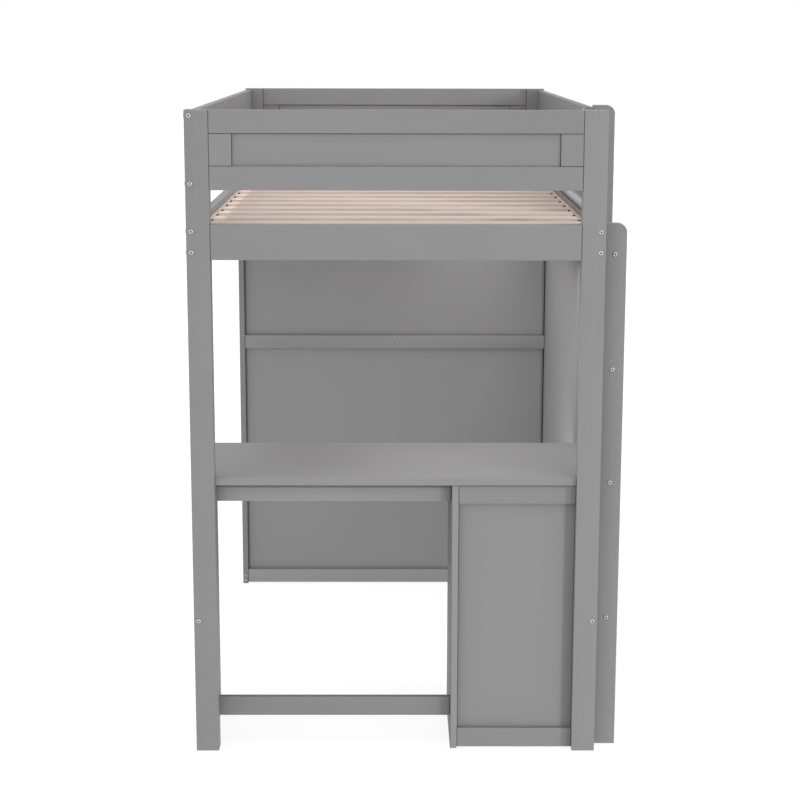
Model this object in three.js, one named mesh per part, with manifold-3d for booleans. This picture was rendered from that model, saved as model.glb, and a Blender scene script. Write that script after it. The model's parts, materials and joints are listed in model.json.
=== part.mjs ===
// Loft bed with a desk, a desk pedestal and a storage cabinet under the bed.
// Millimetres, +Z up. X runs across the bed and Y along it, from the desk end to the cabinet end.
// The origin is on the floor, under the middle of the outer box, ladder and door knobs included.
// Inside the bed group, X = 0 is the bed's centre line and Y = 0 the outer face of the desk end.

import * as THREE from "three";
import { mergeVertices } from "three/addons/utils/BufferGeometryUtils.js";
import Module from "manifold-3d";

// Bed frame
const BED_WIDTH = 1060;
const BED_LENGTH = 2010;
const BED_HEIGHT = 1690;
const POST_WIDTH = 60;
const POST_DEPTH = 45;
const RAIL_BOTTOM = 1314;
const RAIL_TOP = 1404;
const SIDE_RAIL_THICKNESS = 23;
const END_RAIL_THICKNESS = 25;

// Slats and the ledgers that carry them
const SLAT_COUNT = 14;
const SLAT_PITCH = 138.5;
const SLAT_WIDTH = 70;
const SLAT_THICKNESS = 14;
const SLAT_LENGTH = 960;
const SLAT_TOP = 1401;
const LEDGER_WIDTH = 38;
const LEDGER_HEIGHT = 30;

// Guards around the mattress
const GUARD_BOTTOM = 1490;
const GUARD_THICKNESS = 20;
const GUARD_PANEL_THICKNESS = 8;
const GUARD_STILE_WIDTH = 57.5;
const GUARD_TOP_RAIL_HEIGHT = 58;
const GUARD_BOTTOM_RAIL_HEIGHT = 60;
const SIDE_GUARD_DROP = 5;

// Ladder, upright against the outside of the right side rail
const STILE_WIDTH = 60;
const STILE_THICKNESS = 20;
const NEAR_STILE_Y = 52;
const FAR_STILE_Y = 370;
const STILE_CORNER_RADIUS = 24;
const TREAD_THICKNESS = 22;
const TREAD_HEIGHTS = [355, 724, 1025, 1324];

// Desk
const BOARD = 18;
const DESK_SIDE_THICKNESS = 22;
const SIDE_INSET = 3;
const DESK_FRONT = 12;
const DESK_BACK = 436;
const DESK_TOP_HEIGHT = 745;
const DESK_TOP_THICKNESS = 20;
const APRON_HEIGHT = 50;
const STRETCHER_BOTTOM = 83;
const STRETCHER_TOP = 135;

// Framed backs: rails in front of one thin sheet
const FRAME_RAIL_THICKNESS = 12;
const SHEET_THICKNESS = 6;
const BACK_FOOT_GAP = 5;

// Pedestal under the desk
const PEDESTAL_LEFT = 146;
const PEDESTAL_NEAR = 17;
const PEDESTAL_DEPTH = 300;
const PEDESTAL_RAIL_HEIGHT = 52;

// Storage cabinet at the far end
const CABINET_NEAR = 1520;
const CABINET_BOTTOM_RAIL_HEIGHT = 46;
const CABINET_MID_RAIL_BOTTOM = 831;
const CABINET_MID_RAIL_TOP = 876;
const CABINET_SHEET_GAP = 3;

// Doors and knobs
const DOOR_THICKNESS = 18;
const DOOR_SIDE_GAP = 1;
const DOOR_BACK_GAP = 2;
const DOOR_POCKET_DEPTH = 6;
const DOOR_FRAME_WIDTH = 60;
const CABINET_DOOR_BOTTOM = 10;
const CABINET_DOOR_TOP_GAP = 4;
const PEDESTAL_DOOR_GAP = 2;
const CABINET_KNOB_HEIGHT = 700;
const PEDESTAL_KNOB_HEIGHT = 620;
const KNOB_RADIUS = 14;
const KNOB_NECK_RADIUS = 7;
const KNOB_NECK_LENGTH = 10;
const KNOB_LENGTH = 25;
const KNOB_EDGE_RADIUS = 4;
const KNOB_SIDES = 24;
const ARC_STEPS = 8;
const KNOB_ARC_STEPS = 2;

// Levels and edges that several pieces share
const halfWidth = BED_WIDTH / 2;
const postInner = halfWidth - POST_WIDTH;
const nearPostBack = POST_DEPTH;
const farPostFront = BED_LENGTH - POST_DEPTH;
const deskUnderside = DESK_TOP_HEIGHT - DESK_TOP_THICKNESS;
const deskSideOuter = halfWidth - SIDE_INSET;
const deskSideInner = deskSideOuter - DESK_SIDE_THICKNESS;
const cabinetInner = deskSideOuter - BOARD;
const backDepth = FRAME_RAIL_THICKNESS + SHEET_THICKNESS;

const wasm = await Module();
wasm.setup();

const bed = new THREE.Group();
bed.position.set(-STILE_WIDTH / 2, -(BED_LENGTH + KNOB_LENGTH) / 2, 0);

const greyPaint = () => new THREE.MeshStandardMaterial({ color: 0x949394, roughness: 0.45, metalness: 0 });
const barePine = () => new THREE.MeshStandardMaterial({ color: 0xd6bfa8, roughness: 0.7, metalness: 0 });
const satinMetal = () => new THREE.MeshStandardMaterial({ color: 0xb8b8ba, roughness: 0.35, metalness: 1 });

const middle = (span) => (span[0] + span[1]) / 2;
const length = (span) => span[1] - span[0];
// A span on the right side, or its mirror image on the left.
const onSide = (side, span) => (side === "right" ? span : [-span[1], -span[0]]);

function addPiece(name, geometry, material) {
  const mesh = new THREE.Mesh(geometry, material());
  mesh.name = name;
  bed.add(mesh);
  return mesh;
}

// A plain board, given by its span [low, high] along each axis.
function board(name, x, y, z, material = greyPaint) {
  const geometry = new THREE.BoxGeometry(length(x), length(y), length(z));
  addPiece(name, geometry, material).position.set(middle(x), middle(y), middle(z));
}

// An outline drawn in X and Z, as thick as its span along Y.
function uprightPlate(name, outline, y) {
  const geometry = new THREE.ExtrudeGeometry(outline, {
    depth: length(y),
    bevelEnabled: false,
    curveSegments: ARC_STEPS,
  });
  const mesh = addPiece(name, geometry, greyPaint);
  mesh.rotation.x = Math.PI / 2;
  mesh.position.y = y[1];
}

// An outline of [x, y] corners, lying flat, as thick as its span along Z.
function flatPlate(name, corners, z) {
  const outline = new THREE.Shape(corners.map(([x, y]) => new THREE.Vector2(x, y)));
  const geometry = new THREE.ExtrudeGeometry(outline, { depth: length(z), bevelEnabled: false });
  addPiece(name, geometry, greyPaint).position.z = z[0];
}

// A flat board with a narrower tongue that passes between two posts.
function tongueBoard(name, halfBody, halfTongue, bodyEnd, shoulder, tongueEnd, z) {
  const rightHalf = [
    [halfBody, bodyEnd],
    [halfBody, shoulder],
    [halfTongue, shoulder],
    [halfTongue, tongueEnd],
  ];
  const leftHalf = rightHalf.map(([x, y]) => [-x, y]).reverse();
  flatPlate(name, [...rightHalf, ...leftHalf], z);
}

function rectangle(Path, x, z) {
  return new Path([
    new THREE.Vector2(x[0], z[0]),
    new THREE.Vector2(x[1], z[0]),
    new THREE.Vector2(x[1], z[1]),
    new THREE.Vector2(x[0], z[1]),
  ]);
}

function toSolid(geometry) {
  const bare = geometry.clone();
  bare.deleteAttribute("normal");
  bare.deleteAttribute("uv");
  const merged = mergeVertices(bare);
  const vertProperties = merged.attributes.position.array;
  const triVerts = new Uint32Array(merged.index.array);
  return new wasm.Manifold(new wasm.Mesh({ numProp: 3, vertProperties, triVerts }));
}

function toGeometry(solid) {
  const { vertProperties, triVerts } = solid.getMesh();
  const geometry = new THREE.BufferGeometry();
  geometry.setAttribute("position", new THREE.BufferAttribute(vertProperties, 3));
  geometry.setIndex(new THREE.BufferAttribute(triVerts, 1));
  return geometry;
}

function posts() {
  const z = [0, BED_HEIGHT];
  for (const side of ["left", "right"]) {
    const x = onSide(side, [postInner, halfWidth]);
    board("post_near_" + side, x, [0, nearPostBack], z);
    board("post_far_" + side, x, [farPostFront, BED_LENGTH], z);
  }
}

function rails() {
  const z = [RAIL_BOTTOM, RAIL_TOP];
  const between = [-postInner, postInner];
  board("end_rail_near", between, [0, END_RAIL_THICKNESS], z);
  board("end_rail_far", between, [BED_LENGTH - END_RAIL_THICKNESS, BED_LENGTH], z);
  for (const side of ["left", "right"]) {
    const x = onSide(side, [halfWidth - SIDE_RAIL_THICKNESS, halfWidth]);
    board("side_rail_" + side, x, [nearPostBack, farPostFront], z);
  }
}

function slatsAndLedgers() {
  const slatBottom = SLAT_TOP - SLAT_THICKNESS;
  const railInner = halfWidth - SIDE_RAIL_THICKNESS;
  for (const side of ["left", "right"]) {
    const x = onSide(side, [railInner - LEDGER_WIDTH, railInner]);
    const z = [slatBottom - LEDGER_HEIGHT, slatBottom];
    board("slat_ledger_" + side, x, [nearPostBack, farPostFront], z, barePine);
  }
  for (let i = 0; i < SLAT_COUNT; i++) {
    const centre = BED_LENGTH / 2 + (i - (SLAT_COUNT - 1) / 2) * SLAT_PITCH;
    const number = String(i + 1).padStart(2, "0");
    const x = [-SLAT_LENGTH / 2, SLAT_LENGTH / 2];
    const y = [centre - SLAT_WIDTH / 2, centre + SLAT_WIDTH / 2];
    board("slat_" + number, x, y, [slatBottom, SLAT_TOP], barePine);
  }
}

// A frame with one long window, and the panel that fills the window.
function endGuard(end, y) {
  const windowX = [-postInner + GUARD_STILE_WIDTH, postInner - GUARD_STILE_WIDTH];
  const windowZ = [GUARD_BOTTOM + GUARD_BOTTOM_RAIL_HEIGHT, BED_HEIGHT - GUARD_TOP_RAIL_HEIGHT];
  const outline = rectangle(THREE.Shape, [-postInner, postInner], [GUARD_BOTTOM, BED_HEIGHT]);
  outline.holes.push(rectangle(THREE.Path, windowX, windowZ));
  uprightPlate("end_guard_" + end + "_frame", outline, y);
  const recess = (GUARD_THICKNESS - GUARD_PANEL_THICKNESS) / 2;
  board("end_guard_" + end + "_panel", windowX, [y[0] + recess, y[1] - recess], windowZ);
}

function guards() {
  endGuard("near", [0, GUARD_THICKNESS]);
  endGuard("far", [BED_LENGTH - GUARD_THICKNESS, BED_LENGTH]);
  const top = BED_HEIGHT - SIDE_GUARD_DROP;
  const x = [halfWidth - GUARD_THICKNESS, halfWidth];
  board("side_guard_left", onSide("left", x), [nearPostBack, farPostFront], [GUARD_BOTTOM, top]);
  // The right guard stands on the side rail, and starts at the ladder's far stile to leave the way in open.
  board("side_guard_right", x, [FAR_STILE_Y, farPostFront], [RAIL_TOP, top]);
}

// A ladder upright whose outer top corner is rounded.
function ladderStile(name, y, height) {
  const outer = halfWidth + STILE_WIDTH;
  const radius = STILE_CORNER_RADIUS;
  const outline = new THREE.Shape();
  outline.moveTo(halfWidth, 0);
  outline.lineTo(outer, 0);
  outline.absarc(outer - radius, height - radius, radius, 0, Math.PI / 2, false);
  outline.lineTo(halfWidth, height);
  uprightPlate(name, outline, [y, y + STILE_THICKNESS]);
}

function ladder() {
  ladderStile("ladder_stile_near", NEAR_STILE_Y, RAIL_TOP);
  ladderStile("ladder_stile_far", FAR_STILE_Y, BED_HEIGHT);
  const x = [halfWidth, halfWidth + STILE_WIDTH];
  const y = [NEAR_STILE_Y + STILE_THICKNESS, FAR_STILE_Y];
  TREAD_HEIGHTS.forEach((height, i) => {
    const z = [height - TREAD_THICKNESS / 2, height + TREAD_THICKNESS / 2];
    board("ladder_tread_" + (i + 1), x, y, z);
  });
}

function desk() {
  const topZ = [deskUnderside, DESK_TOP_HEIGHT];
  tongueBoard("desk_top", deskSideOuter, postInner, DESK_BACK, nearPostBack, DESK_FRONT, topZ);
  const sideX = onSide("left", [deskSideInner, deskSideOuter]);
  board("desk_side_left", sideX, [nearPostBack, DESK_BACK], [0, deskUnderside]);
  const openX = [-deskSideInner, PEDESTAL_LEFT];
  const openY = [nearPostBack, nearPostBack + BOARD];
  board("desk_apron", openX, openY, [deskUnderside - APRON_HEIGHT, deskUnderside]);
  board("desk_stretcher", openX, openY, [STRETCHER_BOTTOM, STRETCHER_TOP]);
}

// A door whose outer face has a shallow pocket inside a plain border, and its knob.
// reach is 1 where the door runs from its hinge towards +X, and -1 towards -X.
function door(names, hingeX, reach, width, outerY, z, knobZ) {
  const ends = [hingeX + reach * DOOR_SIDE_GAP, hingeX + reach * (width - DOOR_SIDE_GAP)];
  const x = [Math.min(...ends), Math.max(...ends)];
  const slab = new THREE.BoxGeometry(length(x), DOOR_THICKNESS, length(z));
  const pocket = new THREE.BoxGeometry(
    length(x) - 2 * DOOR_FRAME_WIDTH,
    2 * DOOR_POCKET_DEPTH,
    length(z) - 2 * DOOR_FRAME_WIDTH,
  );
  pocket.translate(0, DOOR_THICKNESS / 2, 0);
  const geometry = toGeometry(toSolid(slab).subtract(toSolid(pocket)));
  const leaf = addPiece(names.door, geometry, greyPaint);
  leaf.position.set(middle(x), outerY - DOOR_THICKNESS / 2, middle(z));
  const knobX = ends[1] - (reach * DOOR_FRAME_WIDTH) / 2;
  knob(names.knob, knobX, outerY, knobZ);
}

// A turned knob that stands on a face looking along +Y.
function knob(name, x, y, z) {
  const profile = new THREE.Path();
  profile.moveTo(0, 0);
  profile.lineTo(KNOB_NECK_RADIUS, 0);
  profile.lineTo(KNOB_NECK_RADIUS, KNOB_NECK_LENGTH);
  profile.lineTo(KNOB_RADIUS, KNOB_NECK_LENGTH + KNOB_EDGE_RADIUS);
  profile.absarc(KNOB_RADIUS - KNOB_EDGE_RADIUS, KNOB_LENGTH - KNOB_EDGE_RADIUS,
    KNOB_EDGE_RADIUS, 0, Math.PI / 2, false);
  profile.lineTo(0, KNOB_LENGTH);
  const geometry = new THREE.LatheGeometry(profile.getPoints(KNOB_ARC_STEPS), KNOB_SIDES);
  addPiece(name, geometry, satinMetal).position.set(x, y, z);
}

function pedestal() {
  const innerLeft = PEDESTAL_LEFT + BOARD;
  const backX = [innerLeft, postInner];
  const railY = [PEDESTAL_NEAR, PEDESTAL_NEAR + FRAME_RAIL_THICKNESS];
  const sheetBack = PEDESTAL_NEAR + backDepth;
  const doorFace = PEDESTAL_NEAR + PEDESTAL_DEPTH;
  const bottomRailTop = BACK_FOOT_GAP + PEDESTAL_RAIL_HEIGHT;
  board("pedestal_side_left", [PEDESTAL_LEFT, innerLeft], [PEDESTAL_NEAR, doorFace], [0, deskUnderside]);
  board("pedestal_side_right", [deskSideInner, deskSideOuter], [nearPostBack, DESK_BACK], [0, deskUnderside]);
  board("pedestal_back_top_rail", backX, railY, [deskUnderside - APRON_HEIGHT, deskUnderside]);
  board("pedestal_back_bottom_rail", backX, railY, [BACK_FOOT_GAP, bottomRailTop]);
  board("pedestal_back_panel", backX, [railY[1], sheetBack], [BACK_FOOT_GAP, deskUnderside]);
  const floorBack = doorFace - DOOR_THICKNESS - DOOR_BACK_GAP;
  const floorCorners = [
    [innerLeft, sheetBack],
    [postInner, sheetBack],
    [postInner, nearPostBack],
    [deskSideInner, nearPostBack],
    [deskSideInner, floorBack],
    [innerLeft, floorBack],
  ];
  flatPlate("pedestal_floor", floorCorners, [bottomRailTop - BOARD, bottomRailTop]);
  const doorZ = [bottomRailTop + PEDESTAL_DOOR_GAP, deskUnderside - PEDESTAL_DOOR_GAP];
  const names = { door: "pedestal_door", knob: "pedestal_door_knob" };
  door(names, deskSideInner, -1, deskSideInner - innerLeft, doorFace, doorZ, PEDESTAL_KNOB_HEIGHT);
}

function cabinet() {
  const innerX = [-cabinetInner, cabinetInner];
  const railY = [CABINET_NEAR, CABINET_NEAR + FRAME_RAIL_THICKNESS];
  const sheetBack = CABINET_NEAR + backDepth;
  const bottomRailTop = BACK_FOOT_GAP + CABINET_BOTTOM_RAIL_HEIGHT;
  const sideX = onSide("left", [cabinetInner, deskSideOuter]);
  board("cabinet_side_left", sideX, [CABINET_NEAR, farPostFront], [0, RAIL_BOTTOM]);
  board("cabinet_back_bottom_rail", innerX, railY, [BACK_FOOT_GAP, bottomRailTop]);
  board("cabinet_back_mid_rail", innerX, railY, [CABINET_MID_RAIL_BOTTOM, CABINET_MID_RAIL_TOP]);
  const sheetX = [-cabinetInner, cabinetInner - CABINET_SHEET_GAP];
  board("cabinet_back_panel", sheetX, [railY[1], sheetBack], [BACK_FOOT_GAP, RAIL_BOTTOM]);
  const doorBack = BED_LENGTH - DOOR_THICKNESS - DOOR_BACK_GAP;
  const endBoard = (name, z) =>
    tongueBoard(name, cabinetInner, postInner, sheetBack, farPostFront, doorBack, z);
  endBoard("cabinet_floor", [bottomRailTop - BOARD, bottomRailTop]);
  endBoard("cabinet_top", [RAIL_BOTTOM - BOARD, RAIL_BOTTOM]);
  const shelfZ = [CABINET_MID_RAIL_TOP - BOARD, CABINET_MID_RAIL_TOP];
  board("cabinet_shelf", innerX, [sheetBack, farPostFront], shelfZ);
  const doorZ = [CABINET_DOOR_BOTTOM, RAIL_BOTTOM - CABINET_DOOR_TOP_GAP];
  for (const [side, reach] of [["left", 1], ["right", -1]]) {
    const names = { door: "cabinet_door_" + side, knob: "cabinet_door_knob_" + side };
    door(names, -reach * postInner, reach, postInner, BED_LENGTH, doorZ, CABINET_KNOB_HEIGHT);
  }
}

// The long board under the right side rail, from the desk to the far post.
// It closes the ladder side and is also the cabinet's right side.
function sidePanel() {
  board("side_panel_right", [cabinetInner, deskSideOuter], [DESK_BACK, farPostFront], [0, RAIL_BOTTOM]);
}

posts();
rails();
slatsAndLedgers();
guards();
ladder();
desk();
pedestal();
cabinet();
sidePanel();

export default new THREE.Group().add(bed);
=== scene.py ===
"""Looks for the loft bed with desk: paint, bare pine, fasteners, hinges, floor, light and camera.

Metres, in the CAD model's frame: X across the bed, Y from the desk end to the cabinet end, +Z up.
"""

import json
import math

import bmesh
import bpy
from mathutils import Matrix, Vector


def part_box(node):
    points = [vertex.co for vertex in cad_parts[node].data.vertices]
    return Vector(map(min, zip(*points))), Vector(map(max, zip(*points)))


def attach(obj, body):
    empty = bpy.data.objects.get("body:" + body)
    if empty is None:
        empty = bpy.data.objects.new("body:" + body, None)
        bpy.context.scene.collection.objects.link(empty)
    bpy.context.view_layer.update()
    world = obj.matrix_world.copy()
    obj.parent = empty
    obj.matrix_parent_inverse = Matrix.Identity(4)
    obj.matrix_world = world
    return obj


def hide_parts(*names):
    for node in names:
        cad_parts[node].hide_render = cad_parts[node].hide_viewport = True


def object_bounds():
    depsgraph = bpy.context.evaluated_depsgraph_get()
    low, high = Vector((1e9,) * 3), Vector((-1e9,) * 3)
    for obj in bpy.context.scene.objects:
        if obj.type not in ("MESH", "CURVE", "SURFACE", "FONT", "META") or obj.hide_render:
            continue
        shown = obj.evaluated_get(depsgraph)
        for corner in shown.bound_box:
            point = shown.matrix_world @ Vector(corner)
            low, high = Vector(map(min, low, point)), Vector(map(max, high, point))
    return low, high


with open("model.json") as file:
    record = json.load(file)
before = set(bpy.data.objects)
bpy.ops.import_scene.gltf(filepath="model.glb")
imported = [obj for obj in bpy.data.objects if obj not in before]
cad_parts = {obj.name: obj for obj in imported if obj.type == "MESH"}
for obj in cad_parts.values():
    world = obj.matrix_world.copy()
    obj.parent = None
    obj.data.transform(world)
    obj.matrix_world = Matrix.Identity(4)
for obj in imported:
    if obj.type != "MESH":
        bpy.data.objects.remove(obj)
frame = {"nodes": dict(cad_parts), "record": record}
cad_low, cad_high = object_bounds()

MM = 0.001
FRAME_BODY = "bed_and_desk"

# The faces of an upright box: the axis they look along, and which way
LEFT_FACE = (0, -1)
RIGHT_FACE = (0, 1)
BOTTOM_FACE = (2, -1)
TOP_FACE = (2, 1)

# Camera, fitted to the corners of the posts. Angles are in degrees, the lens and sensor in millimetres
CAMERA_PLACE = (-0.0427, -5.5945, 1.864)
CAMERA_PITCH = 11.24
CAMERA_YAW = 0.29
CAMERA_ROLL = 0.11
CAMERA_LENS = 81.81
CAMERA_SENSOR = 36.0
CAMERA_REACH = 200.0

# Studio: a white room and a glowing white floor
WORLD_STRENGTH = 1.0
FLOOR_SIZE = 80.0
FLOOR_CELLS = 4
FLOOR_COLOUR = (0.20, 0.20, 0.20)
FLOOR_SPECK = 0.98
FLOOR_GLOW = 0.86

# Wide soft lights from both sides and from above. Angles are in degrees
WIDE_LIGHTS = {
    "left_light": {"azimuth": -75, "elevation": 8, "spread": 40, "strength": 0.55},
    "right_light": {"azimuth": 45, "elevation": 10, "spread": 14, "strength": 0.74},
    "top_light": {"azimuth": 0, "elevation": 88, "spread": 60, "strength": 0.68},
}

# Panel lights that open up the shade: their place in shares of the CAD box, aim, size and watts
SHADE_LIGHTS = {
    "under_bed_light": {
        "shares": (0.72, 0.50, 0.74), "towards": (0, 0, -1), "size": (0.30, 0.90), "power": 1.6,
    },
    "over_desk_light": {
        "shares": (0.69, 0.13, 0.74), "towards": (0, 0, -1), "size": (0.50, 0.35), "power": 1.75,
    },
    "cabinet_light": {
        "shares": (0.72, 0.23, 0.30), "towards": (0, 1, 0), "size": (0.45, 0.35), "power": 2.1,
    },
    "left_ledger_light": {
        "shares": (0.076, 0.50, 0.843), "towards": (-1, 0, 0), "size": (1.75, 0.02), "power": 0.35,
    },
    "right_ledger_light": {
        "shares": (0.924, 0.50, 0.843), "towards": (1, 0, 0), "size": (1.75, 0.02), "power": 0.2,
    },
}

# Paint. Colours here and below are in linear light
PAINT = (0.220, 0.218, 0.221)
# Lighter paint on the arrises: rubbed wear, and a painted highlight along the edges
PAINT_WORN_AND_HIGHLIT = (0.308, 0.305, 0.306)
PAINT_ROUGHNESS = (0.46, 0.54)
PAINT_GLOSS = 0.15
WOOD_GRAIN = 1.0
FIBREBOARD_GRAIN = 0.15
WORN_AND_HIGHLIT_WIDTH = 2.6 * MM

# Painted shade in the joints between boards, where their gaps fall dark
JOINT_SHADE = (0.045, 0.044, 0.045)
JOINT_DEPTH = 0.8 * MM
JOINT_REACH = 2.6 * MM
JOINT_STRENGTH = 0.9
BUTTED_GAP = 0.3 * MM
BUTTED_SHARE = 0.6

# Rounded arrises. Sheets are boards thinner than SHEET_THICKNESS
BOARD_EDGE_RADIUS = 1.6 * MM
SHEET_EDGE_RADIUS = 0.8 * MM
PINE_EDGE_RADIUS = 1.8 * MM
KNOB_EDGE_RADIUS = 0.6 * MM
SHEET_THICKNESS = 9 * MM
WELD_DISTANCE = 0.01 * MM
FLAT_ANGLE = math.radians(0.5)
ARRIS_ANGLE = math.radians(30)
ARRIS_SEGMENTS = 3

# How light single boards were matched against the rest of the paint: their own tone, and painted light and
# shade
BOARD_TONE_AND_LIGHT = {
    "post_near_left": 0.97,
    "post_near_right": 1.04,
    "ladder_stile_near": 1.06,
    "guard_near_top_rail": 0.97,
    "end_guard_far_panel": 1.22,
    "guard_far_top_rail": 1.22,
    "side_guard_right": 0.87,
    "side_rail_left": 1.06,
    "side_rail_right": 1.06,
    "desk_top": 1.07,
    "desk_apron": 1.14,
    "desk_stretcher": 0.92,
    "pedestal_side_left": 1.12,
    "pedestal_back_panel": 1.04,
    "cabinet_side_left": 0.9,
    "cabinet_back_panel": 1.06,
    "cabinet_back_mid_rail": 1.03,
    "cabinet_back_bottom_rail": 1.13,
    "side_panel_right": 0.99,
}

# Shade that gathers beyond the joints: the face it starts from, where it is full, where it ends, its strength
BESIDE_THE_POST = (RIGHT_FACE, 24 * MM, 32 * MM, 0.2)
DEEP_SHADE = {
    "desk_apron": [
        (TOP_FACE, 9.5 * MM, 16 * MM, 0.6),
        (LEFT_FACE, 1 * MM, 70 * MM, 0.65),
        (RIGHT_FACE, 1 * MM, 14 * MM, 0.3),
    ],
    "desk_stretcher": [(LEFT_FACE, 1 * MM, 50 * MM, 0.25)],
    "pedestal_back_top_rail": [(TOP_FACE, 2 * MM, 5 * MM, 0.6), BESIDE_THE_POST],
    "pedestal_back_bottom_rail": [BESIDE_THE_POST],
    "pedestal_back_panel": [BESIDE_THE_POST],
    "pedestal_side_left": [(LEFT_FACE, 0.6 * MM, 2.5 * MM, 0.6)],
    "cabinet_back_panel": [(LEFT_FACE, 2 * MM, 9 * MM, 0.6), (RIGHT_FACE, 1 * MM, 12 * MM, 0.5)],
}

# Bare pine
PINE_PALE = (0.61, 0.50, 0.435)
PINE_WARM = (0.55, 0.43, 0.385)
PINE_LATE_WOOD = (0.44, 0.31, 0.25)
PINE_FIBRE = (0.67, 0.59, 0.535)
PINE_KNOT = (0.20, 0.115, 0.075)

# Metal
BOLT_STEEL = (0.50, 0.50, 0.51)
SCREW_STEEL = (0.34, 0.34, 0.35)
# Black steel, which also paints the shade on the walls and floor of each recess in a head
BLACK_STEEL_AND_RECESS_SHADE = (0.035, 0.034, 0.034)
KNOB_NICKEL = (0.62, 0.61, 0.60)
BOLT_ROUGHNESS = 0.36
SCREW_ROUGHNESS = 0.4
BLACK_ROUGHNESS = 0.5
KNOB_ROUGHNESS = 0.3
SCUFF_ROUGHNESS = 0.07

# Heads of bolts and screws. A profile is radius and height, in shares of the head's own
HEAD_STEPS = 36
HEAD_PROFILE = [(1.0, 0.0), (1.0, 0.3), (0.93, 0.68), (0.8, 0.92), (0.66, 1.0)]
RECESS_SIZE = 0.32
RECESS_FLOOR = 0.12
CROSS_ARM_WIDTH = 0.3
BOLT_RADIUS = 6.2 * MM
BOLT_RISE = 2.6 * MM
SCREW_RADIUS = 3.4 * MM
SCREW_RISE = 0.9 * MM
SLAT_SCREW_RISE = 3.6 * MM

# Where the fasteners are: heights above the floor in metres, and distances from a board's ends and edges
BOLT_INSET = 12.5 * MM
GUARD_BOLTS = (1.675, 1.506)
RAIL_BOLTS = (1.386, 1.333)
SIDE_BOARD_BOLT = (0.361,)
FOOT_SCREW_HEIGHTS = (11 * MM, 28 * MM)
MID_RAIL_TOP_SCREW_DROP = 4 * MM
MID_RAIL_SCREW_RISE = 9 * MM
MID_RAIL_SCREW_FROM_LEFT = 55 * MM
MID_RAIL_SCREW_FROM_RIGHT = 80 * MM
SLAT_SCREW_FROM_END = 5 * MM
SLAT_SCREW_FROM_EDGE = 8 * MM
TREAD_COUNT = 4
SLAT_COUNT = 14

# Butt hinges on the doors
KNUCKLE_RADIUS = 3.2 * MM
KNUCKLE_LENGTH = 17 * MM
KNUCKLE_GAP = 0.6 * MM
KNUCKLE_PROFILE = [(0.8, -1.0), (1.0, -0.93), (1.0, 0.93), (0.8, 1.0)]
HINGE_FROM_DOOR_END = 0.13


# ---------------------------------------------------------------- shader helpers

class Tree:
    """The node tree of one new material, with short calls to add nodes to it."""

    def __init__(self, name):
        self.material = bpy.data.materials.new(name)
        self.material.use_nodes = True
        self.nodes = self.material.node_tree.nodes
        self.links = self.material.node_tree.links
        self.shader = self.nodes["Principled BSDF"]

    def add(self, kind, inputs=None, **settings):
        node = self.nodes.new(kind)
        for key, value in settings.items():
            setattr(node, key, value)
        for key, value in (inputs or {}).items():
            self.put(value, node.inputs[key])
        return node

    def put(self, value, socket):
        """Links a node's output to a socket, or sets the socket to a plain number or colour."""
        if isinstance(value, bpy.types.NodeSocket):
            self.links.new(value, socket)
        elif socket.type == "RGBA":
            socket.default_value = (*value[:3], 1)
        else:
            socket.default_value = value

    def set(self, **inputs):
        for key, value in inputs.items():
            self.put(value, self.shader.inputs[key.replace("_", " ")])

    def math(self, operation, a, b=0.0):
        return self.add("ShaderNodeMath", {0: a, 1: b}, operation=operation).outputs[0]

    def remap(self, value, low, high, to_low, to_high, kind="LINEAR"):
        inputs = {"Value": value, "From Min": low, "From Max": high, "To Min": to_low, "To Max": to_high}
        return self.add("ShaderNodeMapRange", inputs, interpolation_type=kind).outputs["Result"]

    def vary(self, noise, low, high):
        """Turns a noise, whose values lie mostly between 0.3 and 0.7, into a range of its own."""
        return self.remap(noise, 0.3, 0.7, low, high)

    def place(self, shift=(0, 0, 0), stretch=(1, 1, 1)):
        coords = self.add("ShaderNodeTexCoord").outputs["Object"]
        inputs = {"Vector": coords, "Location": shift, "Scale": stretch}
        return self.add("ShaderNodeMapping", inputs).outputs["Vector"]

    def axes(self):
        coords = self.add("ShaderNodeTexCoord").outputs["Object"]
        return self.add("ShaderNodeSeparateXYZ", {0: coords}).outputs

    def noise(self, where, scale, detail=3.0, roughness=0.5):
        inputs = {"Vector": where, "Scale": scale, "Detail": detail, "Roughness": roughness}
        return self.add("ShaderNodeTexNoise", inputs).outputs["Fac"]

    def blend(self, share, a, b):
        return self.add("ShaderNodeMix", {0: share, 6: a, 7: b}, data_type="RGBA").outputs[2]

    def scale(self, vector, factor):
        return self.add("ShaderNodeVectorMath", {0: vector, "Scale": factor}, operation="SCALE").outputs[0]

    def bump(self, height, distance, strength, under=None):
        inputs = {"Height": height, "Distance": distance, "Strength": strength}
        if under is not None:
            inputs["Normal"] = under
        return self.add("ShaderNodeBump", inputs).outputs["Normal"]


def longest_axis(size):
    return max(range(3), key=lambda i: size[i])


def along(axis, share_along, share_across):
    """A stretch that draws a pattern out along one axis."""
    return tuple(share_along if i == axis else share_across for i in range(3))


def edge_nearness(tree, low, high, width):
    """1 on a box's edges, falling to 0 within the width: the middle one of the distances to its faces."""
    centre = (low + high) / 2
    half = (high - low) / 2
    xyz = tree.axes()
    depth = []
    for i in range(3):
        offset = tree.math("ABSOLUTE", tree.math("SUBTRACT", xyz[i], centre[i]))
        depth.append(tree.math("SUBTRACT", half[i], offset))
    least = tree.math("MINIMUM", depth[0], depth[1])
    most = tree.math("MAXIMUM", depth[0], depth[1])
    middle = tree.math("MAXIMUM", least, tree.math("MINIMUM", most, depth[2]))
    return tree.remap(middle, 0.0, width, 1.0, 0.0, "SMOOTHSTEP")


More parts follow.
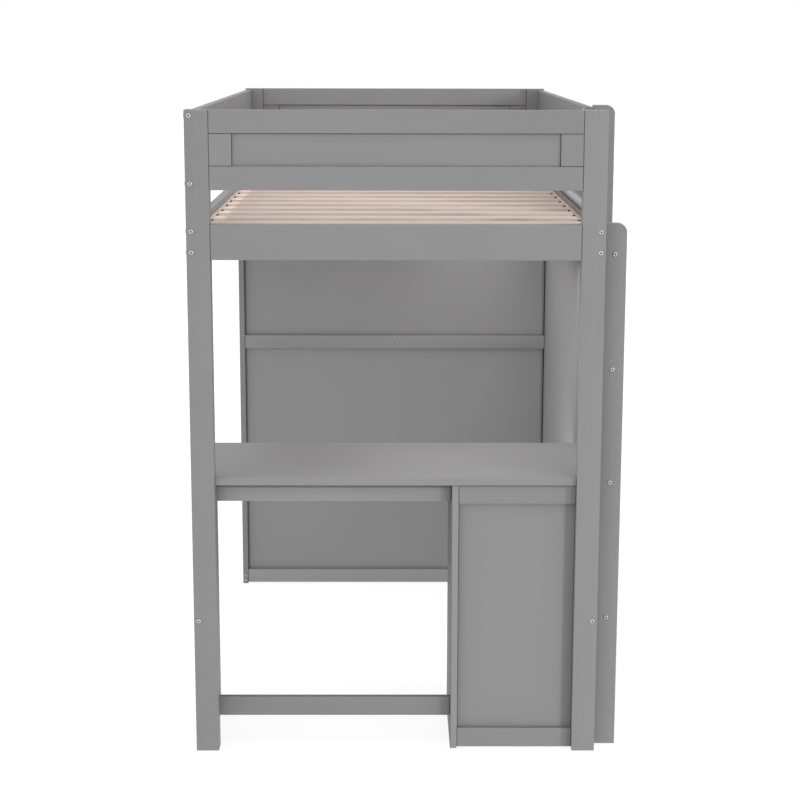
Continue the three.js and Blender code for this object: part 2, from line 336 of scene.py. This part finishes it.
def joint_shade(tree, low, high, joints):
    """How far the paint darkens. A joint is a face, where its shade is full, where it ends, its strength."""
    xyz = tree.axes()
    total = 0.0
    for (axis, sign), depth, reach, strength in joints:
        ends = (high[axis], xyz[axis]) if sign > 0 else (xyz[axis], low[axis])
        inside = tree.math("SUBTRACT", *ends)
        shade = tree.remap(inside, depth, reach, strength, 0.0, "SMOOTHSTEP")
        total = tree.math("MAXIMUM", total, shade)
    return total


# ---------------------------------------------------------------- materials

def painted(name, low, high, seed, grain, joints, tone_and_light=1.0):
    """Satin paint. grain is how far the wood below telegraphs through it, from 0 on fibreboard."""
    tree = Tree(name)
    axis = longest_axis(high - low)
    shift = (seed * 1.37 % 7, seed * 2.11 % 7, seed * 0.73 % 7)
    even = tree.place(shift)
    drawn = tree.place(shift, along(axis, 0.05, 1.0))
    clouds = tree.noise(even, scale=2.2, detail=2.0)
    fibres = tree.noise(drawn, scale=160.0, detail=6.0, roughness=0.62)
    peel = tree.noise(even, scale=420.0, detail=2.0, roughness=0.45)
    # Lighter arrises: rubbed wear, and a painted highlight along the edges
    rubbed_and_highlit = tree.remap(tree.noise(even, scale=34.0, detail=4.0), 0.46, 0.66, 0.06, 0.42)
    worn_and_highlit = tree.math("MULTIPLY", edge_nearness(tree, low, high, WORN_AND_HIGHLIT_WIDTH), rubbed_and_highlit)
    # The board's tone: partly its own, partly painted light and shade
    clouding = tree.vary(clouds, 0.97 * tone_and_light, 1.03 * tone_and_light)
    streaks = tree.remap(fibres, 0.25, 0.75, -0.03 * grain, 0.03 * grain)
    colour = tree.scale(tree.blend(worn_and_highlit, PAINT, PAINT_WORN_AND_HIGHLIT), tree.math("ADD", clouding, streaks))
    # Painted shade in the joints, and deeper painted shade under the desk top and beside the posts
    if joints:
        colour = tree.blend(joint_shade(tree, low, high, joints), colour, JOINT_SHADE)
    roughness = tree.math("ADD", tree.vary(clouds, *PAINT_ROUGHNESS), tree.vary(peel, -0.03, 0.03))
    relief = tree.bump(fibres, distance=0.25 * MM, strength=0.35 * grain + 0.04)
    relief = tree.bump(peel, distance=0.12 * MM, strength=0.22, under=relief)
    tree.set(Base_Color=colour, Roughness=roughness, Normal=relief, Specular_IOR_Level=PAINT_GLOSS)
    return tree.material


def growth_rings(tree, centre, axis, seed):
    """Rings about a pith that lies a few centimetres below the board, a little different in each board."""
    pith = Vector((0.0, 0.0, 0.0))
    pith[(axis + 1) % 3] = 0.022 * math.sin(seed * 2.3)
    pith[2] = -0.045 - 0.02 * math.sin(seed * 1.7)
    from_pith = tree.place(tuple(pith - centre), along(axis, 0.14, 1.0))
    drawn = tree.place((seed * 0.31, seed * 0.77, 0), along(axis, 0.5, 1.0))
    wander = tree.noise(drawn, scale=5.0, detail=2.0)
    warped = tree.scale(from_pith, tree.vary(wander, 0.82, 1.18))
    inputs = {"Vector": warped, "Scale": 42.0, "Distortion": 3.2, "Detail": 3.0, "Detail Scale": 1.4}
    settings = {"wave_type": "RINGS", "rings_direction": "XYZ"[axis]}
    return tree.add("ShaderNodeTexWave", inputs, **settings).outputs["Fac"]


def knots_in(tree, axis, seed):
    """1 in the heart of a knot and 0 away from it. Knots are far apart and drawn out along the board."""
    cells = tree.place((seed * 1.9, seed * 0.43, 0), along(axis, 0.7, 1.6))
    distance = tree.add("ShaderNodeTexVoronoi", {"Vector": cells, "Scale": 3.1}).outputs["Distance"]
    return tree.remap(distance, 0.018, 0.05, 0.75, 0.0, "SMOOTHSTEP")


def pine(name, low, high, seed):
    """Planed softwood: growth rings cut along the board, fine fibres and a few knots."""
    tree = Tree(name)
    axis = longest_axis(high - low)
    rings = growth_rings(tree, (low + high) / 2, axis, seed)
    fine = tree.place((seed, 0, 0), along(axis, 0.03, 1.0))
    broad = tree.place((seed * 3.1, 0, 0), along(axis, 0.4, 1.0))
    fibres = tree.noise(fine, scale=420.0, detail=5.0, roughness=0.65)
    tint = tree.noise(broad, scale=6.0, detail=2.0)
    knot = knots_in(tree, axis, seed)
    late_wood = tree.remap(rings, 0.55, 0.98, 0.0, 0.3, "SMOOTHSTEP")
    colour = tree.blend(tree.vary(tint, 0.0, 1.0), PINE_PALE, PINE_WARM)
    colour = tree.blend(late_wood, colour, PINE_LATE_WOOD)
    colour = tree.blend(tree.remap(fibres, 0.3, 0.75, 0.0, 0.28), colour, PINE_FIBRE)
    colour = tree.blend(knot, colour, PINE_KNOT)
    relief = tree.bump(rings, distance=0.18 * MM, strength=0.25)
    relief = tree.bump(fibres, distance=0.2 * MM, strength=0.3, under=relief)
    tree.set(Base_Color=colour, Roughness=tree.vary(fibres, 0.5, 0.68), Normal=relief)
    return tree.material


def metal(name, colour, roughness):
    """Plated steel, with fine scuffs."""
    tree = Tree(name)
    scuffs = tree.noise(tree.place(), scale=900.0, detail=4.0, roughness=0.6)
    spread = tree.vary(scuffs, roughness - SCUFF_ROUGHNESS, roughness + SCUFF_ROUGHNESS)
    relief = tree.bump(scuffs, distance=0.03 * MM, strength=0.2)
    tree.set(Base_Color=colour, Metallic=1.0, Roughness=spread, Normal=relief)
    return tree.material


def floor_material():
    """A plain pale floor with faint specks, which glows so that it is as white as the room behind it."""
    tree = Tree("studio_floor")
    specks = tree.noise(tree.place(), scale=6.0, detail=3.0)
    darker = tuple(c * FLOOR_SPECK for c in FLOOR_COLOUR)
    shade = tree.blend(tree.vary(specks, 0.0, 1.0), FLOOR_COLOUR, darker)
    tree.set(Base_Color=shade, Roughness=0.8, Specular_IOR_Level=0.1)
    tree.set(Emission_Color=(1, 1, 1), Emission_Strength=FLOOR_GLOW)
    return tree.material


# ---------------------------------------------------------------- CAD nodes

def butted_faces(name):
    """The faces of a board's box that lie against another board over most of their area."""
    low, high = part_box(name)
    found = []
    for axis in range(3):
        across = [i for i in range(3) if i != axis]
        for sign in (-1, 1):
            level = high[axis] if sign > 0 else low[axis]
            shares = []
            for other in frame["nodes"]:
                other_low, other_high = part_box(other)
                other_level = other_low[axis] if sign > 0 else other_high[axis]
                if other == name or abs(other_level - level) > BUTTED_GAP:
                    continue
                share = 1.0
                for i in across:
                    overlap = min(high[i], other_high[i]) - max(low[i], other_low[i])
                    share *= max(overlap, 0.0) / (high[i] - low[i])
                shares.append(share)
            if max(shares, default=0.0) > BUTTED_SHARE:
                found.append((axis, sign))
    return found


def soften(piece, radius):
    """Rounds the arrises, once the triangles are welded and joined up to flat faces."""
    weld = piece.modifiers.new("weld", "WELD")
    weld.merge_threshold = WELD_DISTANCE
    flatten = piece.modifiers.new("flat_faces", "DECIMATE")
    flatten.decimate_type = "DISSOLVE"
    flatten.angle_limit = FLAT_ANGLE
    bevel = piece.modifiers.new("arris", "BEVEL")
    bevel.width = radius
    bevel.segments = ARRIS_SEGMENTS
    bevel.limit_method = "ANGLE"
    bevel.angle_limit = ARRIS_ANGLE
    bevel.harden_normals = True
    piece.data.shade_smooth()


def joints_of(faces):
    return [(face, JOINT_DEPTH, JOINT_REACH, JOINT_STRENGTH) for face in faces]


def dress(node, name, slot_name, seed):
    """Gives a CAD node the material of its slot, and rounds its arrises."""
    low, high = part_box(name)
    if slot_name == "bare_pine":
        material = pine("pine_" + name, low, high, seed)
        soften(node, PINE_EDGE_RADIUS)
    elif slot_name == "satin_metal":
        material = metal("metal_" + name, KNOB_NICKEL, KNOB_ROUGHNESS)
        soften(node, KNOB_EDGE_RADIUS)
    else:
        in_a_frame = name.startswith("end_guard") and name.endswith("panel")
        # The faces whose joints, and the places beyond them, get painted shade
        joints = joints_of([LEFT_FACE, RIGHT_FACE, TOP_FACE] if in_a_frame else butted_faces(name))
        joints += DEEP_SHADE.get(name, [])
        grain = WOOD_GRAIN if slot_name == "painted_wood" else FIBREBOARD_GRAIN
        material = painted("paint_" + name, low, high, seed, grain, joints, BOARD_TONE_AND_LIGHT.get(name, 1.0))
        thin = min(high - low) < SHEET_THICKNESS
        soften(node, SHEET_EDGE_RADIUS if thin else BOARD_EDGE_RADIUS)
    node.data.materials.clear()
    node.data.materials.append(material)


def add_mesh(name, form, materials, body):
    data = bpy.data.meshes.new(name)
    form.to_mesh(data)
    form.free()
    piece = bpy.data.objects.new(name, data)
    bpy.context.scene.collection.objects.link(piece)
    for material in materials:
        data.materials.append(material)
    data.shade_smooth()
    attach(piece, body)
    return piece


def plank(name, low, high, seed, faces):
    """A board of its own, for a CAD node that stands for several boards. The faces are its joints."""
    form = bmesh.new()
    bmesh.ops.create_cube(form, size=1.0)
    for vert in form.verts:
        vert.co = Vector([low[i] if vert.co[i] < 0 else high[i] for i in range(3)])
    tone_and_light = BOARD_TONE_AND_LIGHT.get(name, 1.0)
    material = painted("paint_" + name, low, high, seed, WOOD_GRAIN, joints_of(faces), tone_and_light)
    piece = add_mesh(name, form, [material], FRAME_BODY)
    soften(piece, BOARD_EDGE_RADIUS)
    return piece


def guard_frame(end, seed):
    """The four boards of an end guard's frame: the rails run through, and the stiles stand between them."""
    node = "end_guard_%s_frame" % end
    low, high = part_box(node)
    inner_low, inner_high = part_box("end_guard_%s_panel" % end)
    rail_ends = [LEFT_FACE, RIGHT_FACE]
    stile_ends = [BOTTOM_FACE, TOP_FACE]
    boards = (
        ("top_rail", (low.x, high.x), (inner_high.z, high.z), rail_ends),
        ("bottom_rail", (low.x, high.x), (low.z, inner_low.z), rail_ends),
        ("stile_left", (low.x, inner_low.x), (inner_low.z, inner_high.z), stile_ends + [LEFT_FACE]),
        ("stile_right", (inner_high.x, high.x), (inner_low.z, inner_high.z), stile_ends + [RIGHT_FACE]),
    )
    for i, (part, x, z, faces) in enumerate(boards):
        corners = (Vector((x[0], low.y, z[0])), Vector((x[1], high.y, z[1])))
        piece = plank("guard_%s_%s" % (end, part), *corners, seed + i, faces)
        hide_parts(node)


slot_of = {part["node"]: part["material_slot"] for part in frame["record"]["subparts"]}
for seed, name in enumerate(sorted(frame["nodes"])):
    dress(frame["nodes"][name], name, slot_of[name], seed + 1)
guard_frame("near", seed=71)
guard_frame("far", seed=81)


# ---------------------------------------------------------------- fasteners and hinges

def facing(direction):
    """A rotation that turns +Z to a direction."""
    return Vector((0, 0, 1)).rotation_difference(Vector(direction)).to_matrix().to_4x4()


def hexagon(angle, size):
    """How far a hexagon's side is from its centre at an angle, where size is half its width across flats."""
    sector = math.pi / 3
    return size / math.cos((angle + sector / 2) % sector - sector / 2)


def cross(angle, size):
    """The same for a cross recess, whose arms reach out by its size."""
    quarter = math.pi / 2
    turn = abs((angle + quarter / 2) % quarter - quarter / 2)
    arm = size / math.cos(turn)
    side = size * CROSS_ARM_WIDTH / max(math.sin(turn), 0.001)
    return min(arm, side)


def lathe(form, turn, rows, recess_shade_from):
    """Joins rings of points from the foot up to a closed solid. The faces above row recess_shade_from take
    the second material: painted shade in a recess.
    """
    made = [[form.verts.new(turn @ Vector(p)) for p in row] for row in rows]
    steps = len(rows[0])
    for level, (lower, upper) in enumerate(zip(made, made[1:])):
        for i in range(steps):
            j = (i + 1) % steps
            face = form.faces.new((lower[i], lower[j], upper[j], upper[i]))
            face.material_index = int(level >= recess_shade_from)
    form.faces.new(list(reversed(made[0])))
    form.faces.new(made[-1]).material_index = int(recess_shade_from < len(rows))


def round_angles():
    return [2 * math.pi * i / HEAD_STEPS for i in range(HEAD_STEPS)]


def round_rows(profile, radius, height):
    """A ring of points for each radius and height of a profile, which are shares of the ones given."""
    return [[(radius * r * math.cos(a), radius * r * math.sin(a), height * h) for a in round_angles()]
            for r, h in profile]


def screw_head(form, place, direction, radius, rise, recess):
    """A button head with a recess in its top, standing on a face at a place."""
    turn = Matrix.Translation(place) @ facing(direction)
    rows = round_rows(HEAD_PROFILE, radius, rise)
    angles = round_angles()
    mouth = [recess(a, radius * RECESS_SIZE) for a in angles]
    for h in (1.0, RECESS_FLOOR):
        rows.append([(r * math.cos(a), r * math.sin(a), rise * h) for r, a in zip(mouth, angles)])
    lathe(form, turn, rows, len(HEAD_PROFILE))


def fasteners(name, places, direction, radius, rise, recess, steel):
    """One piece that holds a group of heads, all facing the same way."""
    form = bmesh.new()
    for place in places:
        screw_head(form, Vector(place), direction, radius, rise, recess)
    # The second material is the painted shade inside each recess
    add_mesh(name, form, [steel, black_steel_and_recess_shade], FRAME_BODY)


def bolts(name, places, direction):
    fasteners(name, places, direction, BOLT_RADIUS, BOLT_RISE, hexagon, bolt_steel)


def screws(name, places, direction, steel):
    fasteners(name, places, direction, SCREW_RADIUS, SCREW_RISE, cross, steel)


def post_bolts():
    """Bolts in each post's outer end face, and in its outer side face but for the post by the ladder."""
    for end, direction in (("near", -1), ("far", 1)):
        for side, way in (("left", -1), ("right", 1)):
            low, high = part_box("post_%s_%s" % (end, side))
            face = low.y if direction < 0 else high.y
            outer = low.x if way < 0 else high.x
            by_the_ladder = end == "near" and side == "right"
            heights = (() if by_the_ladder else GUARD_BOLTS) + RAIL_BOLTS + SIDE_BOARD_BOLT
            places = [(outer - way * BOLT_INSET, face, z) for z in heights]
            bolts("bolts_end_%s_%s" % (end, side), places, (0, direction, 0))
            if not by_the_ladder:
                places = [(outer, face - direction * BOLT_INSET, z) for z in GUARD_BOLTS + RAIL_BOLTS]
                bolts("bolts_side_%s_%s" % (end, side), places, (way, 0, 0))


def ladder_bolts():
    """One bolt into each end of every tread, and bolts from inside that hold the stiles to rail and guard."""
    near_low, near_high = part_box("ladder_stile_near")
    far_low, far_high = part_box("ladder_stile_far")
    x = (near_low.x + near_high.x) / 2
    heights = []
    for i in range(TREAD_COUNT):
        low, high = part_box("ladder_tread_%d" % (i + 1))
        heights.append((low.z + high.z) / 2)
    bolts("bolts_ladder_near", [(x, near_low.y, z) for z in heights], (0, -1, 0))
    bolts("bolts_ladder_far", [(x, far_high.y, z) for z in heights], (0, 1, 0))
    inner_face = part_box("side_rail_right")[0].x
    near_y = (near_low.y + near_high.y) / 2
    far_y = (far_low.y + far_high.y) / 2
    places = [(inner_face, y, RAIL_BOLTS[1]) for y in (near_y, far_y)]
    places += [(inner_face, far_y, z) for z in GUARD_BOLTS]
    bolts("bolts_ladder_inner", places, (-1, 0, 0))


def cabinet_screws():
    """Two screws at the foot of the cabinet's left side, and three in the rail across its back."""
    low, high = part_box("cabinet_side_left")
    x = (low.x + high.x) / 2
    places = [(x, low.y, low.z + height) for height in FOOT_SCREW_HEIGHTS]
    screws("screws_cabinet_foot", places, (0, -1, 0), bolt_steel)
    low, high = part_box("cabinet_back_mid_rail")
    top_screw = ((low.x + high.x) / 2, low.y, high.z - MID_RAIL_TOP_SCREW_DROP)
    screws("screw_cabinet_mid_rail_top", [top_screw], (0, -1, 0), bolt_steel)
    z = low.z + MID_RAIL_SCREW_RISE
    places = [(low.x + MID_RAIL_SCREW_FROM_LEFT, low.y, z), (high.x - MID_RAIL_SCREW_FROM_RIGHT, low.y, z)]
    screws("screws_cabinet_mid_rail", places, (0, -1, 0), screw_steel)


def slat_screws():
    """One black screw through each end of every slat, into the ledger below."""
    places = []
    for i in range(SLAT_COUNT):
        low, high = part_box("slat_%02d" % (i + 1))
        y = high.y - SLAT_SCREW_FROM_EDGE
        places.append((low.x + SLAT_SCREW_FROM_END, y, high.z))
        places.append((high.x - SLAT_SCREW_FROM_END, y, high.z))
    fasteners("screws_slats", places, (0, 0, 1), SCREW_RADIUS, SLAT_SCREW_RISE, cross, black_steel_and_recess_shade)


def knuckle(form, place):
    """A hinge knuckle: a short upright barrel with rounded ends, its middle at a place."""
    rows = round_rows(KNUCKLE_PROFILE, KNUCKLE_RADIUS, KNUCKLE_LENGTH / 2)
    lathe(form, Matrix.Translation(place), rows, len(rows))


def door_hinges():
    """Two butt hinges on each door. The middle knuckle turns with the door, and the outer two stay."""
    for joint in frame["record"]["behaviour"]["joints"]:
        door = joint["child"]
        low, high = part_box(door)
        pin = Vector(joint["pos_m"])
        step = Vector((0, 0, KNUCKLE_LENGTH + KNUCKLE_GAP))
        fixed = bmesh.new()
        turning = bmesh.new()
        for share in (HINGE_FROM_DOOR_END, 1 - HINGE_FROM_DOOR_END):
            pin.z = low.z + share * (high.z - low.z)
            knuckle(turning, pin)
            knuckle(fixed, pin + step)
            knuckle(fixed, pin - step)
        add_mesh("hinges_%s_turning" % door, turning, [bolt_steel], door)
        add_mesh("hinges_%s_fixed" % door, fixed, [bolt_steel], FRAME_BODY)


bolt_steel = metal("bolt_steel", BOLT_STEEL, BOLT_ROUGHNESS)
screw_steel = metal("screw_steel", SCREW_STEEL, SCREW_ROUGHNESS)
black_steel_and_recess_shade = metal("black_steel_and_recess_shade", BLACK_STEEL_AND_RECESS_SHADE, BLACK_ROUGHNESS)
post_bolts()
ladder_bolts()
cabinet_screws()
slat_screws()
door_hinges()


# ---------------------------------------------------------------- studio

def add_camera():
    data = bpy.data.cameras.new("camera")
    data.lens = CAMERA_LENS
    data.sensor_width = CAMERA_SENSOR
    data.clip_end = CAMERA_REACH
    camera = bpy.data.objects.new("camera", data)
    bpy.context.scene.collection.objects.link(camera)
    camera.location = CAMERA_PLACE
    camera.rotation_mode = "QUATERNION"
    heading = Matrix.Rotation(math.radians(-CAMERA_YAW), 4, "Z")
    tilt = Matrix.Rotation(math.radians(90 - CAMERA_PITCH), 4, "X")
    roll = Matrix.Rotation(math.radians(CAMERA_ROLL), 4, "Z")
    camera.rotation_quaternion = (heading @ tilt @ roll).to_quaternion()
    bpy.context.scene.camera = camera


def add_floor():
    form = bmesh.new()
    bmesh.ops.create_grid(form, x_segments=FLOOR_CELLS, y_segments=FLOOR_CELLS, size=FLOOR_SIZE / 2)
    data = bpy.data.meshes.new("floor")
    form.to_mesh(data)
    form.free()
    floor = bpy.data.objects.new("floor", data)
    floor.location.z = cad_low.z
    bpy.context.scene.collection.objects.link(floor)
    data.materials.append(floor_material())


def wide_light(name, azimuth, elevation, spread, strength):
    """A soft light from far away. Azimuth 0 is in front of the desk end, and 90 is the ladder side."""
    data = bpy.data.lights.new(name, "SUN")
    data.angle = math.radians(spread)
    data.energy = strength
    lamp = bpy.data.objects.new(name, data)
    turn = math.radians(azimuth)
    lift = math.radians(elevation)
    flat = math.cos(lift)
    towards = Vector((flat * math.sin(turn), -flat * math.cos(turn), math.sin(lift)))
    lamp.rotation_mode = "QUATERNION"
    lamp.rotation_quaternion = towards.to_track_quat("Z", "Y")
    bpy.context.scene.collection.objects.link(lamp)


def shade_light(name, shares, towards, size, power):
    """A panel light inside the bed frame. It isn't seen itself, nor in reflections."""
    data = bpy.data.lights.new(name, "AREA")
    data.shape = "RECTANGLE"
    data.size, data.size_y = size
    data.energy = power
    lamp = bpy.data.objects.new(name, data)
    lamp.location = [cad_low[i] + shares[i] * (cad_high[i] - cad_low[i]) for i in range(3)]
    lamp.rotation_mode = "QUATERNION"
    lamp.rotation_quaternion = Vector(towards).to_track_quat("-Z", "Y")
    lamp.visible_camera = False
    lamp.visible_glossy = False
    bpy.context.scene.collection.objects.link(lamp)


def add_light():
    world = bpy.data.worlds.new("studio")
    world.use_nodes = True
    background = world.node_tree.nodes["Background"]
    background.inputs["Color"].default_value = (1, 1, 1, 1)
    background.inputs["Strength"].default_value = WORLD_STRENGTH
    bpy.context.scene.world = world
    bpy.context.scene.view_settings.view_transform = "Standard"
    for name, settings in WIDE_LIGHTS.items():
        wide_light(name, **settings)
    for name, settings in SHADE_LIGHTS.items():
        shade_light(name, **settings)


add_camera()
add_floor()
add_light()
